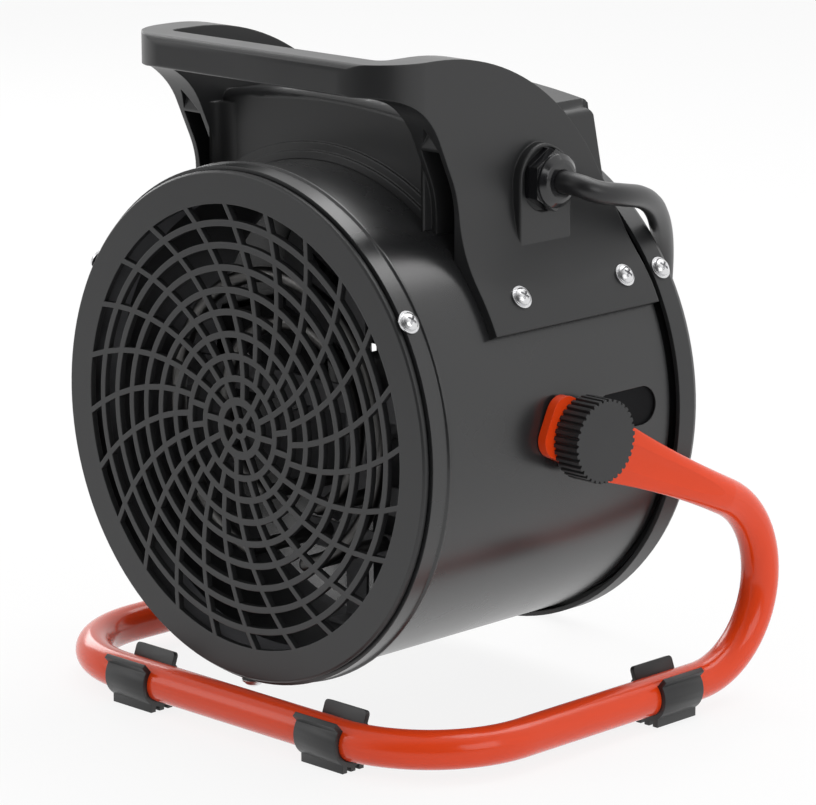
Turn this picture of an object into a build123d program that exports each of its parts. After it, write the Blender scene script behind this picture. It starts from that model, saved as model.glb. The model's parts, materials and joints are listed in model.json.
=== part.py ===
from build123d import *
from math import asin, atan2, cos, degrees, dist, hypot, pi, radians, sin, sqrt, tan
import os

# Forced air heater on a tilting tube stand.
# Millimetres. +Z up, outlet towards -Y, inlet and controls towards +Y.
# The floor is z = 0. While modelling, y = 0 is the stand's pivot line, and each
# piece is moved at the end so that the heater with its stand is centred on y = 0.

# ---------------------------------------------------------------- drum and its ends
drum_radius = 104.0
sheet = 1.0
floor_gap = 22.5
barrel_front = -83.0
barrel_rear = 57.5
neck_step = 3.5
neck_end = 68.0
step_length = 1.0

collar_step = 2.6
collar_front = -83.6
collar_rear = -73.2
bead_rise = 0.8
bead_width = 2.6

disc_step = 1.0
disc_front = -87.0
disc_thickness = 2.6
disc_edge = 0.8
spigot_clearance = 0.2
spigot_wall = 2.0
spigot_length = 7.0

ring_step = 3.5
ring_front = 60.0
ring_rear = 72.0
ring_wall = 2.0
ring_edge = 3.0
ring_lip_depth = 10.5

# ---------------------------------------------------------------- spiral web of the outlet
web_margin = 12.5
web_first = 7.0
web_pitch = 9.05
web_opening = 6.4
first_opening = 5.0
spoke = 2.5
spoke_lean = 0.37
eye_radius = 2.1
spoke_counts = [6, 12, 18, 24, 24, 24, 24, 24, 24, 24]
inner_phases = [50.0, 22.3, 5.3]
outer_phase = 13.3

# ---------------------------------------------------------------- inlet cover and controls
cover_thickness = 2.5
slot_margin = 7.0
slot_height = 5.5
slot_first = 24.0
slot_rings = 8
slot_bar = 3.4
slot_sectors = 12
panel_low = 36.0
panel_inset = 12.5
panel_thickness = 3.5
panel_margin = 6.0
dial_spacing = 66.0
dial_drop = 41.0
dial_radius = 14.5
dial_length = 15.0
dial_shaft = 3.0
running_gap = 0.05
switch_size = 28.0
switch_depth = 20.0

# ---------------------------------------------------------------- handle housing
housing_width = 154.0
skin = 2.5
arm_width = 15.0
plate_front = -39.0
plate_rear = 57.0
flange_angle = 24.8
flange_thickness = 4.0
flange_blend = 58.0
underside_rise = 37.0
handle_rise = 53.4
bar_front = -82.0
bar_depth = 15.0
bar_corner = 25.0
gap_corner = 5.0
throat_drop = 6.2
throat_angle = 24.0
throat_radius = 40.0
hook_radius = 33.0
back_radius = 108.0
grip_edge = 4.0
grip_lower_edge = 1.5
wall_front = -37.0
deck_rise = 27.5
deck_crown = 6.0
deck_fall = 4.0
deck_edge = 4.0
box_rear = 52.5
box_lean = 12.5
wall_fillet = 8.0
lip_rise = 3.5
lip_reach = 3.0
lip_step = 1.5
web_face = -48.0
web_apex_rise = 23.0
web_base_rise = 13.0

# ---------------------------------------------------------------- cord gland
gland_y = 7.0
gland_drop = 3.5
pad_radius = 15.0
pad_height = 4.1
pad_edge = 1.0
seat_radius = 13.2
seat_depth = 1.5
gland_thread = 8.0
gland_flats = 22.0
gland_collar = 3.0
gland_hex = 4.0
gland_dome = 3.5
locknut = 4.0
lead_window = 14.0
cord_diameter = 9.4
cord_seat = 2.5
fit_gap = 0.1

# ---------------------------------------------------------------- stand
tube_radius = 8.0
tube_wall = 1.4
tube_height = 12.0
side_gap_width = 12.5
front_bar = -94.5
corner_radius = 51.0
arm_fall = 25.8
arm_straight = 88.4
paddle_width = 26.0
paddle_thickness = 4.0
paddle_end = 21.0
paddle_flat = 24.0
arm_mid = 43.0
arm_late = 62.0
arm_round = 84.0
mid_width = 20.4
mid_thickness = 6.0
late_width = 17.2
late_thickness = 11.0
groove_lift = 0.6
groove_depth = 1.0
groove_share = 0.3
side_gap = 0.3
clip_length = 28.0
clip_wall = 2.2
clip_margin = 0.5
clip_side = 48.0
clip_open_outer = 38.0
clip_open_inner = 145.0
clip_lip = 4.0
clip_tall_lip = 9.0
clip_rib = 2.6
clip_rib_pitch = 4.6

# ---------------------------------------------------------------- clamps
knob_radius = 17.2
knob_reach = 17.0
knob_teeth = 36
knob_tooth = 1.1
stud_radius = 4.0
boss_radius = 11.0
boss_depth = 12.0
doubler = 3.0
doubler_front = 31.0
doubler_rear = 52.0
doubler_height = 44.0
vent_rear = 49.0
vent_front = 12.0
vent_height = 16.0
vent_centre = 5.0

# ---------------------------------------------------------------- fasteners
screw_angle = 32.0
washer_radius = 4.8
washer_height = 0.8
head_radius = 3.7
head_height = 2.9
head_crown = 1.1
recess_span = 4.2
recess_width = 1.0
recess_depth = 1.4
shank_radius = 1.9
shank_length = 7.0
collar_screw = -80.9
flange_screws = [-18.6, 42.6]
ring_screw = 65.0
lug_radius = 4.5

# ---------------------------------------------------------------- inside the drum
shield_gap = 9.5
shield_wall = 0.8
shield_front = -77.0
shield_rear = -14.0
element_radius = 3.25
element_rings = [60.0, 39.0]
element_faces = [-66.0, -58.0]
element_gap = 34.0
carrier_width = 12.0
carrier_thickness = 1.5
fan_hub = 19.0
fan_front = -10.0
fan_rear = 14.0
fan_gap = 22.0
fan_blades = 5
blade_thickness = 1.6
blade_root = 26.0
blade_tip = 60.0
root_pitch = 42.0
tip_pitch = 24.0
shaft_radius = 4.0
motor_radius = 31.0
motor_front = 22.0
motor_rear = 56.0
motor_nose = 9.0
bracket_arms = 3
bracket_width = 14.0
bracket_thickness = 2.0
bracket_foot = 12.0
block_length = 44.0
block_depth = 22.0
block_margin = 2.0
block_groove = 5.0
block_base = 10.0
block_poles = 4
cutout_radius = 8.0

# ---------------------------------------------------------------- cord, coil and plug
coil_centre = (-134.8, 197.4)
coil_radius = 46.0
coil_gap = 0.8
coil_half_turns = 4
coil_heading = 90.0
plug_radius = 18.0
plug_body = 30.0
plug_boot = 24.0
plug_tip = 6.0
pin_radius = 2.4
pin_length = 19.0
pin_spacing = 19.0

coil_approach = 23.0
lead_runs = [15.0, 16.0, 15.0]
lead_bend = -5.0
plug_bend = -3.0
arc_share = 0.45

# ---------------------------------------------------------------- sizes worked out once
axis_height = drum_radius + floor_gap
side_bar = drum_radius + side_gap_width
knob_cap = drum_radius + knob_reach
neck_radius = drum_radius - neck_step
collar_radius = drum_radius + collar_step
disc_radius = drum_radius + disc_step
ring_radius = drum_radius + ring_step
ring_lip = ring_radius - ring_lip_depth
web_radius = disc_radius - web_margin
panel_radius = ring_radius - panel_inset
shield_radius = drum_radius - shield_gap
fan_radius = drum_radius - fan_gap
underside = drum_radius + underside_rise
handle_top = drum_radius + handle_rise
deck_height = drum_radius + deck_rise
throat_height = drum_radius - throat_drop
web_apex = drum_radius + web_apex_rise
web_base = drum_radius + web_base_rise
gland_z = drum_radius - gland_drop
dial_height = drum_radius - dial_drop
clip_front = side_bar - corner_radius - clip_length / 2 - clip_margin
block_top = deck_height - deck_crown - skin - block_margin
back_centre = plate_rear - back_radius
plate_outer = housing_width / 2
plate_inner = plate_outer - arm_width
flange_radius = drum_radius + flange_thickness
disc_back = disc_front + disc_thickness
barrel_bore = drum_radius - sheet
neck_bore = neck_radius - sheet
slot_pitch = (neck_bore - slot_margin - slot_first - slot_height) / (slot_rings - 1)
cover_front = ring_rear - ring_wall - cover_thickness
cover_rear = ring_rear - ring_wall
arm_slope = radians(arm_fall)
arm_length = (axis_height - tube_height) / sin(arm_slope)
rear_bend = (arm_length - arm_straight) * tan(arm_slope / 2)
pad_face = drum_radius + side_gap
paddle_inner = pad_face + fit_gap
paddle_outer = paddle_inner + paddle_thickness
knob_inner = paddle_outer + fit_gap
knob_length = knob_cap - knob_inner
coil_pitch = cord_diameter + coil_gap
element_legs_end = fan_front - 10.0
centre_line = Axis((0, 0, axis_height), (0, 1, 0))

# Hand-chosen points of the cord between the gland and the coil, with heights above
# the floor. The first follows the gland's mouth and the last leads onto the coil.
gland_seat = plate_outer + pad_height - seat_depth
gland_shoulder = gland_seat + gland_collar
gland_mouth = gland_shoulder + gland_hex + gland_dome
gland_height = axis_height + gland_z
laid = cord_diameter / 2
cord_route = [
    (gland_mouth + 7.4, gland_y, gland_height),
    (gland_mouth + 13.4, 12.5, gland_height - 3.5),
    (gland_mouth + 14.4, 26.0, gland_height - 6.0),
    (gland_mouth + 8.9, 46.0, gland_height - 10.0),
    (gland_mouth - 2.1, 67.0, gland_height - 20.0),
    (74.0, 87.0, 188.0),
    (58.0, 103.0, 156.0),
    (42.0, 113.0, 112.0),
    (25.0, 119.0, 64.0),
    (6.7, 122.0, 29.4),
    (-12.5, 122.5, 13.3),
    (-36.0, 123.0, laid),
    (-61.0, 129.7, laid),
    (-79.5, 145.1, laid),
]


# ---------------------------------------------------------------- shared shapes
def plane_xz(y):
    """Plane seen from the front: X to the right, Z up, normal towards -Y."""
    return Plane(origin=(0, y, axis_height), x_dir=(1, 0, 0), z_dir=(0, -1, 0))


def plane_yz(x):
    """Plane seen from the right: Y to the right, Z up, normal towards +X."""
    return Plane(origin=(x, 0, axis_height), x_dir=(0, 1, 0), z_dir=(1, 0, 0))


def rod(radius, front, rear, x=0.0, z=0.0):
    """Solid round bar along Y, placed from the drum's axis."""
    return extrude(plane_xz(rear) * Pos(x, z) * Circle(radius), rear - front)


def cross_rod(radius, left, right, y=0.0, z=0.0):
    """Solid round bar along X, placed from the pivot."""
    return extrude(plane_yz(left) * Pos(y, z) * Circle(radius), right - left)


def slab(x_span, y_span, z_span):
    """Box from its limits, with z counted from the drum's axis."""
    size = [high - low for low, high in (x_span, y_span, z_span)]
    middle = [(high + low) / 2 for low, high in (x_span, y_span, z_span)]
    return Pos(middle[0], middle[1], middle[2] + axis_height) * Box(*size)


def turned(points):
    """Ring or cap turned about the drum's axis from (radius, y) corners."""
    outline = Polyline(*points, close=True)
    return Pos(0, 0, axis_height) * revolve(make_face(outline), Axis.Y)


def both_sides(piece):
    """The piece and its mirror image across the middle plane."""
    return [piece, mirror(piece, Plane.YZ)]


def radial_plane(angle, y, radius):
    """Plane tangent to the drum at an angle, its normal pointing outwards."""
    out = (cos(radians(angle)), 0, sin(radians(angle)))
    place = (radius * out[0], y, axis_height + radius * out[2])
    return Plane(origin=place, x_dir=(0, 1, 0), z_dir=out)


def sector_opening(plane, inner, outer, starts, ends):
    """Closed outline of one grille opening between two radii."""
    corners = [
        plane.from_local_coords((r * cos(radians(a)), r * sin(radians(a)), 0))
        for r, a in ((inner, starts[0]), (outer, starts[1]), (outer, ends[1]), (inner, ends[0]))
    ]
    outer_arc = Edge.make_circle(outer, plane, start_angle=starts[1], end_angle=ends[1])
    inner_arc = Edge.make_circle(inner, plane, start_angle=starts[0], end_angle=ends[0])
    sides = [Edge.make_line(corners[0], corners[1]), Edge.make_line(corners[3], corners[2])]
    return Wire([outer_arc, inner_arc, *sides])


# ---------------------------------------------------------------- drum
screw_angles = [screw_angle, 180 - screw_angle, 270.0]


def screw(angle, y, radius):
    """Washer-headed screw standing on a round surface."""
    base = head_height - head_crown
    head = [(0, 0), (washer_radius, 0), (washer_radius, washer_height), (head_radius, washer_height)]
    side = Polyline(*head, (head_radius, base))
    crown = ThreePointArc((head_radius, base), (head_radius * 0.75, head_height - head_crown * 0.35),
                          (0, head_height))
    rest = Line((0, head_height), (0, 0))
    outline = make_face([*side.edges(), *crown.edges(), *rest.edges()])
    shape = revolve(Plane.XZ * outline, Axis.Z)
    for turn in (45, 135):
        shape -= Rot(0, 0, turn) * Pos(0, 0, head_height) * Box(recess_span, recess_width,
                                                              2 * recess_depth)
    shape += Pos(0, 0, -shank_length / 2) * Cylinder(shank_radius, shank_length)
    return radial_plane(angle, y, radius).location * shape


def screw_hole(angle, y, radius):
    """Clearance for a screw's shank, running in past its tip."""
    hole = Pos(0, 0, -shank_length / 2) * Cylinder(shank_radius + fit_gap, shank_length + 4)
    return radial_plane(angle, y, radius).location * hole


def collar_screws():
    return [screw(angle, collar_screw, collar_radius) for angle in screw_angles]


def ring_screws():
    return [screw(angle, ring_screw, ring_radius) for angle in screw_angles]


def flange_screw_set():
    sides = (screw_angle, 180 - screw_angle)
    return [screw(angle, y, flange_radius) for angle in sides for y in flange_screws]


def vent(radius_out):
    """Oblong cutter for the opening behind the right clamp knob."""
    length = vent_rear - vent_front
    middle = (vent_rear + vent_front) / 2
    outline = plane_yz(0) * Pos(middle, vent_centre) * SlotOverall(length, vent_height)
    return extrude(outline, radius_out)


def barrel():
    """Rolled sheet drum with a necked rear end for the moulded ring."""
    outside = [(drum_radius, barrel_front), (drum_radius, barrel_rear)]
    outside += [(neck_radius, barrel_rear + step_length), (neck_radius, neck_end)]
    inside = [(neck_bore, neck_end), (neck_bore, barrel_rear + step_length - sheet)]
    inside += [(barrel_bore, barrel_rear - sheet), (barrel_bore, barrel_front)]
    shell = turned(outside + inside)
    for cutter in both_sides(vent(drum_radius + sheet)):
        shell -= cutter
    for cutter in both_sides(cross_rod(boss_radius, drum_radius / 2, drum_radius + sheet)):
        shell -= cutter
    shell -= cross_rod(lead_window, plate_inner - 3 * locknut, plate_inner, gland_y, gland_z)
    for angle in screw_angles:
        shell -= screw_hole(angle, collar_screw, collar_radius)
        shell -= screw_hole(angle, ring_screw, ring_radius)
    for angle in (screw_angle, 180 - screw_angle):
        for y in flange_screws:
            shell -= screw_hole(angle, y, flange_radius)
    return shell


def front_collar():
    """Band round the drum's mouth with a rolled bead on its rear edge."""
    bead = collar_radius + bead_rise
    corners = [(drum_radius, collar_front), (collar_radius, collar_front)]
    corners += [(collar_radius, collar_rear - bead_width), (bead, collar_rear - bead_width * 0.7)]
    corners += [(bead, collar_rear - bead_width * 0.35), (drum_radius, collar_rear)]
    band = turned(corners)
    for angle in screw_angles:
        band -= screw_hole(angle, collar_screw, collar_radius)
    return band


def web_openings(plane):
    """Outlines of the outlet's openings, ring by ring, spokes leaning like a whirl."""
    outlines = [Wire([Edge.make_circle(eye_radius, plane)])]
    for ring, count in enumerate(spoke_counts):
        middle = web_first + web_pitch * ring
        height = first_opening if ring == 0 else web_opening
        inner = middle - height / 2
        outer = middle + height / 2
        if ring < len(inner_phases):
            phase = inner_phases[ring]
        else:
            phase = outer_phase + spoke_lean * web_pitch * (ring - len(inner_phases))
        lean = spoke_lean * height / 2
        half_inner = degrees(asin(spoke / 2 / inner))
        half_outer = degrees(asin(spoke / 2 / outer))
        step = 360 / count
        for index in range(count):
            start = phase + step * index
            starts = (start - lean + half_inner, start + lean + half_outer)
            ends = (start + step - lean - half_inner, start + step + lean - half_outer)
            outlines.append(sector_opening(plane, inner, outer, starts, ends))
    return outlines


def front_grille():
    """Outlet disc: plain rim, spigot inside the drum's mouth, spiral web."""
    plane = plane_xz(disc_back)
    rim_wire = Wire([Edge.make_circle(web_radius, plane)])
    web = extrude(Face(rim_wire, web_openings(plane)), disc_thickness)
    spigot = barrel_bore - spigot_clearance
    corners = [(web_radius, disc_front), (disc_radius - disc_edge, disc_front)]
    corners += [(disc_radius, disc_front + disc_edge), (disc_radius, disc_back)]
    corners += [(spigot, disc_back), (spigot, disc_back + spigot_length)]
    corners += [(spigot - spigot_wall, disc_back + spigot_length), (spigot - spigot_wall, disc_back)]
    corners += [(web_radius, disc_back)]
    disc = turned(corners) + web
    for angle in screw_angles:
        disc -= screw_hole(angle, collar_screw, collar_radius)
    return disc


def rear_ring():
    """Moulded end ring standing off the drum, seated on its neck."""
    outer = ring_radius - ring_wall
    seat = neck_radius + fit_gap
    corner = ring_edge * 0.3
    corners = [(outer, ring_front), (ring_radius, ring_front), (ring_radius, ring_rear - ring_edge)]
    corners += [(ring_radius - corner, ring_rear - corner), (ring_radius - ring_edge, ring_rear)]
    corners += [(ring_lip, ring_rear), (ring_lip, cover_rear), (seat, cover_rear)]
    corners += [(seat, neck_end - ring_wall), (seat + ring_wall, neck_end - ring_wall)]
    corners += [(seat + ring_wall, cover_rear - ring_wall / 2), (outer, cover_rear - ring_wall / 2)]
    ring = turned(corners)
    for angle in screw_angles:
        lug = radial_plane(angle, ring_screw, seat).location
        length = outer - seat + ring_wall / 2
        ring += lug * Pos(0, 0, length / 2) * Cylinder(lug_radius, length)
        ring -= screw_hole(angle, ring_screw, ring_radius)
    return ring - rod(seat, ring_front, cover_rear)


# ---------------------------------------------------------------- inlet side
def inlet_cover():
    """Disc inside the neck with rings of inlet slots below the control panel."""
    plane = plane_xz(cover_rear)
    openings = []
    step = 360 / slot_sectors
    for ring in range(slot_rings):
        inner = slot_first + slot_pitch * ring
        outer = inner + slot_height
        half_inner = degrees(asin(slot_bar / 2 / inner))
        half_outer = degrees(asin(slot_bar / 2 / outer))
        for index in range(slot_sectors):
            start = 90 + step * index
            highest = max(outer * sin(radians(a)) for a in (start, start + step / 2, start + step))
            if highest > panel_low - panel_margin:
                continue
            starts = (start + half_inner, start + half_outer)
            ends = (start + step - half_inner, start + step - half_outer)
            openings.append(sector_opening(plane, inner, outer, starts, ends))
    rim = Wire([Edge.make_circle(neck_bore, plane)])
    cover = extrude(Face(rim, openings), cover_thickness)
    for x in (-dial_spacing / 2, dial_spacing / 2):
        cover -= rod(dial_shaft + 1, cover_front - 1, cover_rear + 1, x, dial_height)
    return cover


def control_panel():
    """Raised plate in the top of the inlet cover, carrying the two dials."""
    cut = 3 * panel_radius
    outline = Circle(panel_radius) - Pos(0, panel_low - cut / 2) * Rectangle(cut, cut)
    rear = cover_rear + panel_thickness
    plate = extrude(plane_xz(rear) * outline, panel_thickness)
    for x in (-dial_spacing / 2, dial_spacing / 2):
        plate -= rod(dial_shaft + running_gap, cover_rear - 1, rear + 1, x, dial_height)
    return plate


def dial(x):
    """Control dial with a finger bar and its shaft."""
    face = cover_rear + panel_thickness + side_gap
    skirt = rod(dial_radius, face, face + dial_length * 0.35, x, dial_height)
    bar = slab((x - 3, x + 3), (face, face + dial_length),
               (dial_height - dial_radius, dial_height + dial_radius))
    bar &= rod(dial_radius, face, face + dial_length, x, dial_height)
    shaft = rod(dial_shaft, cover_front - switch_depth / 2, face, x, dial_height)
    return skirt + bar + shaft


def switch_body(x):
    """Rotary control behind the panel: body, collar and terminals."""
    half = switch_size / 2
    rear = cover_front
    body = slab((x - half, x + half), (rear - switch_depth, rear),
                (dial_height - half, dial_height + half))
    body = chamfer(body.edges().filter_by(Axis.Y), 3)
    for tab in (-8, 0, 8):
        body += slab((x + tab - 2.4, x + tab + 2.4), (rear - switch_depth - 7, rear - switch_depth),
                     (dial_height - 0.4, dial_height + 0.4))
    return body - rod(dial_shaft + running_gap, rear - switch_depth / 2, rear + 1, x, dial_height)


# ---------------------------------------------------------------- handle housing
def side_profile():
    """Outline of the handle arms and plates seen from the side."""
    lean = tan(radians(throat_angle))
    hook = plate_front - (underside - throat_height) * lean
    low = sin(radians(flange_angle)) * drum_radius * 0.8
    corners = [(plate_front, low), (plate_front, throat_height), (hook, underside)]
    corners += [(bar_front, underside), (bar_front, handle_top), (back_centre, handle_top)]
    radii = [throat_radius, hook_radius, grip_lower_edge, grip_edge]
    front = FilletPolyline(*corners, radius=radii)
    back_z = handle_top - back_radius
    reach = plate_rear - back_centre
    rear_z = back_z + sqrt(back_radius**2 - reach**2)
    middle = radians(45)
    over = (back_centre + back_radius * sin(middle), back_z + back_radius * cos(middle))
    back = ThreePointArc((back_centre, handle_top), over, (plate_rear, rear_z))
    down = Polyline((plate_rear, rear_z), (plate_rear, low), (plate_front, low))
    return make_face([*front.edges(), *back.edges(), *down.edges()])


def saddle_profile():
    """Cross-section of plates and flange: vertical plate, concave blend, round flange."""
    far = drum_radius * 3
    low = (far * cos(radians(flange_angle)), far * sin(radians(flange_angle)))
    wedge = make_face(Polyline((0, 0), low, (0, far), (-low[0], low[1]), close=True))
    block = Pos(0, handle_top / 2) * Rectangle(housing_width, handle_top)
    centre_x = plate_outer + flange_blend
    centre_z = sqrt((flange_radius + flange_blend) ** 2 - centre_x**2)
    share = flange_radius / (flange_radius + flange_blend)
    fill = make_face(Polyline((centre_x * share, centre_z * share), (plate_outer, centre_z),
                              (plate_outer - skin, centre_z / 2), close=True))
    fill -= Pos(centre_x, centre_z) * Circle(flange_blend)
    profile = (Circle(flange_radius) + block + fill + mirror(fill, Plane.YZ)) & wedge
    return profile - Circle(drum_radius)


def arc_roof(half_width, top):
    """Region below a crowned roof line, down to the drum's axis."""
    edge = top - deck_crown
    roof = ThreePointArc((-half_width, edge), (0, top), (half_width, edge))
    rest = Polyline((half_width, edge), (half_width, 0), (-half_width, 0), (-half_width, edge))
    return make_face([*roof.edges(), *rest.edges()])


def control_box(inset):
    """Crowned box between the handle arms, shrunk on every side by the inset."""
    half = plate_inner + skin - inset
    top = deck_height - inset
    front = wall_front + inset
    lean = tan(radians(box_lean))
    long = box_rear - wall_front + 3 * drum_radius * lean
    block = extrude(plane_xz(front + long) * arc_roof(half, top), long)
    roof = Plane(origin=(0, front, axis_height + deck_height - inset - deck_crown), x_dir=(1, 0, 0),
                 z_dir=(0, -1, tan(radians(90 - deck_fall))))
    block = split(block, Plane(roof.origin + Vector(0, 0, deck_crown), x_dir=(1, 0, 0),
                               z_dir=roof.z_dir), keep=Keep.BOTTOM)
    rear = Plane(origin=(0, box_rear - inset, axis_height + deck_height - deck_crown),
                 x_dir=(1, 0, 0), z_dir=(0, cos(radians(box_lean)), sin(radians(box_lean))))
    block = split(block, rear, keep=Keep.BOTTOM)
    block = split(block, Plane(origin=(0, ring_front - fit_gap - inset, 0), z_dir=(0, 1, 0)),
                  keep=Keep.BOTTOM)
    if inset == 0:
        high = axis_height + deck_height - 3 * deck_crown
        block = fillet([edge for edge in block.edges() if edge.center().Z > high], deck_edge)
    return block - rod(drum_radius, front - 1, ring_front + 1)


def arm_pocket():
    """Hollow between the outer and inner skins of the right arm, open at the front and below.

    A small triangular web is left across its mouth, with a dished notch above it.
    """
    low = sin(radians(flange_angle)) * drum_radius * 0.8
    back_z = handle_top - back_radius
    radius = back_radius - skin
    behind = web_face + skin
    rear = plate_rear - skin
    behind_z = back_z + sqrt(radius**2 - (behind - back_centre)**2)
    rear_z = back_z + sqrt(radius**2 - (rear - back_centre)**2)
    middle = radians(45)
    over = (back_centre + radius * sin(middle), back_z + radius * cos(middle))
    back = ThreePointArc((behind, behind_z), over, (rear, rear_z))
    rest = Polyline((rear, rear_z), (rear, low), (web_face, low), (web_face, web_base),
                    (behind, web_base), (behind, behind_z))
    inner = plate_inner + skin
    pocket = extrude(plane_yz(inner) * make_face([*back.edges(), *rest.edges()]), arm_width - 2 * skin)
    middle_x = plate_outer - arm_width / 2 + skin / 2
    notch = make_face(Polyline((middle_x, web_apex), (plate_outer - skin, web_base),
                               (inner, web_base), close=True))
    return pocket + extrude(plane_xz(web_face) * notch, arm_width)


def gland_pad():
    """Arch-shaped raised pad under the gland, running down into the flange."""
    low = gland_z - pad_height * 8
    face = plate_outer + pad_height
    outline = Pos(gland_y, gland_z) * Circle(pad_radius)
    outline += Pos(gland_y, (gland_z + low) / 2) * Rectangle(2 * pad_radius, gland_z - low)
    pad = extrude(plane_yz(plate_inner + skin) * outline, face - plate_inner - skin)
    rim = pad.edges().filter_by(lambda edge: edge.center().X > face - pad_edge / 2)
    pad = fillet(rim, pad_edge)
    return pad - rod(drum_radius, -drum_radius, drum_radius)


def handle_housing():
    """One moulding: plates, saddle flange, grip bar, control box and front lip."""
    side = extrude(plane_yz(-flange_radius) * side_profile(), 2 * flange_radius)
    plates = extrude(plane_xz(plate_rear) * saddle_profile(), plate_rear - bar_front) & side
    length = plate_front + skin - bar_front
    plan = Pos(0, bar_front + length / 2) * Rectangle(housing_width, length)
    plan = fillet(plan.vertices().group_by(Axis.Y)[0], bar_corner)
    loop = extrude(Pos(0, 0, axis_height + drum_radius) * plan, handle_top - drum_radius) & side
    shape = plates + loop
    gap_front = bar_front + bar_depth
    gap_length = ring_front - gap_front
    gap = Pos(0, gap_front + gap_length / 2) * Rectangle(2 * plate_inner, gap_length)
    gap = fillet(gap.vertices().group_by(Axis.Y)[0], gap_corner)
    shape -= extrude(Pos(0, 0, axis_height) * gap, handle_top + 1)
    for pocket in both_sides(arm_pocket()):
        shape -= pocket
    shape += control_box(0) - control_box(skin)
    corner = Pos(plate_inner - wall_fillet / 2, wall_front - wall_fillet / 2)
    corner = corner * Rectangle(wall_fillet, wall_fillet)
    corner -= Pos(plate_inner - wall_fillet, wall_front - wall_fillet) * Circle(wall_fillet)
    post = extrude(Pos(0, 0, axis_height) * corner, deck_height - deck_crown - deck_edge)
    post -= rod(drum_radius, wall_front - wall_fillet - 1, wall_front + 1)
    for piece in both_sides(post):
        shape += piece
    between = slab((-plate_inner, plate_inner), (wall_front - lip_reach, wall_front),
                   (0, deck_height))
    lip = rod(drum_radius + lip_rise, wall_front - lip_reach, wall_front)
    lip += rod(drum_radius + 2 * lip_rise, wall_front - lip_step, wall_front)
    shape += (lip - rod(drum_radius, wall_front - 2 * lip_reach, wall_front + 1)) & between
    shape += gland_pad()
    shape -= cross_rod(gland_thread + fit_gap, plate_inner - 1, gland_seat + 1, gland_y, gland_z)
    shape -= cross_rod(seat_radius, gland_seat, gland_seat + seat_depth + 1, gland_y, gland_z)
    for angle in (screw_angle, 180 - screw_angle):
        for y in flange_screws:
            shape -= screw_hole(angle, y, flange_radius)
    return shape


# ---------------------------------------------------------------- gland
def hexagon(left, length):
    """Hexagonal bar along X on the gland's axis."""
    outline = RegularPolygon(gland_flats / 2, 6, major_radius=False, rotation=30)
    return extrude(plane_yz(left) * Pos(gland_y, gland_z) * outline, length)


def gland_body():
    """Threaded gland body with its hexagon flange outside the housing."""
    inner_end = plate_inner - locknut - 3
    body = hexagon(gland_seat, gland_collar)
    body += cross_rod(gland_thread, inner_end, gland_seat, gland_y, gland_z)
    return body - cross_rod(cord_diameter / 2 + fit_gap, inner_end - 1, gland_shoulder - 1,
                            gland_y, gland_z)


def gland_nut():
    """Domed compression nut that grips the cord."""
    nut = hexagon(gland_shoulder, gland_hex)
    start = gland_shoulder + gland_hex
    profile = [(0, 0), (gland_flats / 2, 0), (gland_flats / 2, gland_dome * 0.35)]
    profile += [(gland_flats * 0.4, gland_dome * 0.85), (gland_flats * 0.33, gland_dome)]
    profile += [(0, gland_dome)]
    dome = revolve(make_face(Plane.XZ * Polyline(*profile, close=True)), Axis.Z)
    nut += Plane(origin=(start, gland_y, axis_height + gland_z), z_dir=(1, 0, 0)).location * dome
    return nut - cross_rod(cord_diameter / 2 + fit_gap, gland_mouth - cord_seat, gland_mouth + 1,
                           gland_y, gland_z)


def gland_locknut():
    """Flat nut on the gland's thread, inside the control box."""
    nut = hexagon(plate_inner - locknut, locknut)
    return nut - cross_rod(gland_thread, plate_inner - locknut - 1, plate_inner + 1, gland_y, gland_z)


# ---------------------------------------------------------------- stand
def arm_point(distance, x):
    """Point on the right arm's centre line, a distance from the pivot."""
    return Vector(x, distance * cos(arm_slope), axis_height - distance * sin(arm_slope))


def arm_plane(distance, x):
    """Section plane across the right arm, with its first direction along X."""
    along = (0, cos(arm_slope), -sin(arm_slope))
    return Plane(origin=arm_point(distance, x), x_dir=(1, 0, 0), z_dir=along)


def stand_path():
    """Centre line of the round tube from the right arm to the left arm."""
    drop = axis_height - tube_height
    corner_y = drop / tan(arm_slope)
    setback = rear_bend / tan(arm_slope / 2)
    bend_top = arm_point(arm_straight, side_bar)
    bend_centre = Vector(side_bar, corner_y - setback, tube_height + rear_bend)
    opening = radians(90 + arm_fall) / 2 - radians(45)
    bend_mid = bend_centre + Vector(0, cos(opening), sin(-opening)) * rear_bend
    bend_low = bend_centre - Vector(0, 0, rear_bend)
    corner = Vector(side_bar - corner_radius, front_bar + corner_radius, tube_height)
    corner_start = Vector(side_bar, corner.Y, tube_height)
    corner_end = Vector(corner.X, front_bar, tube_height)
    spread = corner_radius * cos(radians(45))
    corner_mid = corner + Vector(spread, -spread, 0)
    right = [Line(arm_point(arm_round, side_bar), bend_top), ThreePointArc(bend_top, bend_mid, bend_low)]
    right += [Line(bend_low, corner_start), ThreePointArc(corner_start, corner_mid, corner_end)]
    left = [mirror(piece, Plane.YZ) for piece in right]
    front = Line(corner_end, Vector(-corner_end.X, corner_end.Y, corner_end.Z))
    return Wire([piece.edge() for piece in right + [front] + left])


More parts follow.
